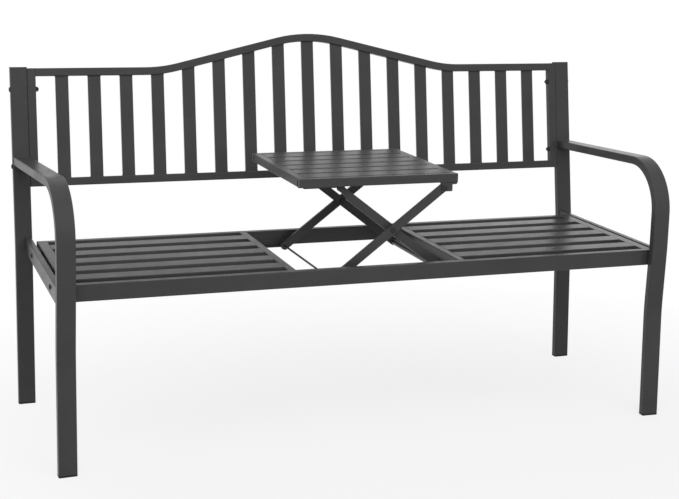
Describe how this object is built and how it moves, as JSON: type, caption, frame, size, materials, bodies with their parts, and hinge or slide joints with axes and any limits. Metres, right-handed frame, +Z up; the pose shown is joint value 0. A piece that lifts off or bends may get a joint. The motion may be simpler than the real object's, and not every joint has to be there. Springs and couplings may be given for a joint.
{
  "type": "garden bench with pop-up table",
  "caption": "Dark painted steel garden bench with slatted seat, arched slatted back and bent-tube arms, whose middle table rises on scissor legs or folds down level with the seat.",
  "frame": {"origin": "on the floor under the middle of the bench's outline", "axes": "+X to the right along the bench as a sitter's front view shows it, +Y to the back, +Z up"},
  "size_m": [1.507, 0.6065, 0.8882],
  "materials": {
    "powder_coat": "satin",
    "dark_hardware": "satin",
    "cap_plastic": "matte"
  },
  "bodies": {
    "bench": {"post_left": "powder_coat", "post_right": "powder_coat", "arm_leg_left": "powder_coat", "arm_leg_right": "powder_coat", "side_rail_left": "powder_coat", "side_rail_right": "powder_coat", "foot_caps": "cap_plastic", "post_caps": "cap_plastic", "seat_front_rail": "powder_coat", "seat_back_rail": "powder_coat", "seat_end_rail_left": "powder_coat", "seat_end_rail_right": "powder_coat", "bay_rail_left": "powder_coat", "bay_rail_right": "powder_coat", "seat_slats_left": "powder_coat", "seat_slats_right": "powder_coat", "back_bottom_rail": "powder_coat", "back_stile_left": "powder_coat", "back_stile_right": "powder_coat", "back_top_rail": "powder_coat", "back_slats": "powder_coat", "panel_bolts": "dark_hardware", "panel_nuts": "dark_hardware", "seat_bolts": "dark_hardware", "seat_nuts": "dark_hardware", "seat_spacers": "dark_hardware", "pivot_tab_front": "powder_coat", "pivot_tab_rear": "powder_coat", "lower_pivot_bolts": "dark_hardware", "lower_pivot_nuts": "dark_hardware", "pivot_tie": "powder_coat", "guide_front": "powder_coat", "guide_rear": "powder_coat"},
    "inner_legs": {"inner_bar_front": "powder_coat", "inner_bar_rear": "powder_coat", "inner_rollers": "dark_hardware", "centre_bolts": "dark_hardware", "centre_nuts": "dark_hardware", "centre_spacers": "dark_hardware"},
    "outer_legs": {"outer_bar_front": "powder_coat", "outer_bar_rear": "powder_coat", "outer_cross_rod": "dark_hardware"},
    "table": {"table_front_rail": "powder_coat", "table_back_rail": "powder_coat", "table_end_rail_left": "powder_coat", "table_end_rail_right": "powder_coat", "table_slats": "powder_coat", "table_bracket_front": "powder_coat", "table_bracket_rear": "powder_coat", "upper_pivot_bolts": "dark_hardware", "table_runners": "powder_coat"}
  },
  "joints": [
    {"name": "table_fold", "type": "hinge", "parent": "bench", "child": "inner_legs", "pos_m": [0.183, -0.0568, 0.374], "axis": [0, -1, 0], "range_deg": [0, 36.9]},
    {"name": "scissor_cross", "type": "hinge", "parent": "inner_legs", "child": "outer_legs", "pos_m": [0.04, -0.0568, 0.48333], "axis": [0, -1, 0], "range_deg": [-73.8, 0]},
    {"name": "table_level", "type": "hinge", "parent": "outer_legs", "child": "table", "pos_m": [0.16234, -0.0568, 0.57686], "axis": [0, -1, 0], "range_deg": [0, 36.9]}
  ],
  "couplings": [
    {"joint": "scissor_cross", "follows": "table_fold", "ratio": -2},
    {"joint": "table_level", "follows": "table_fold", "ratio": 1}
  ]
}
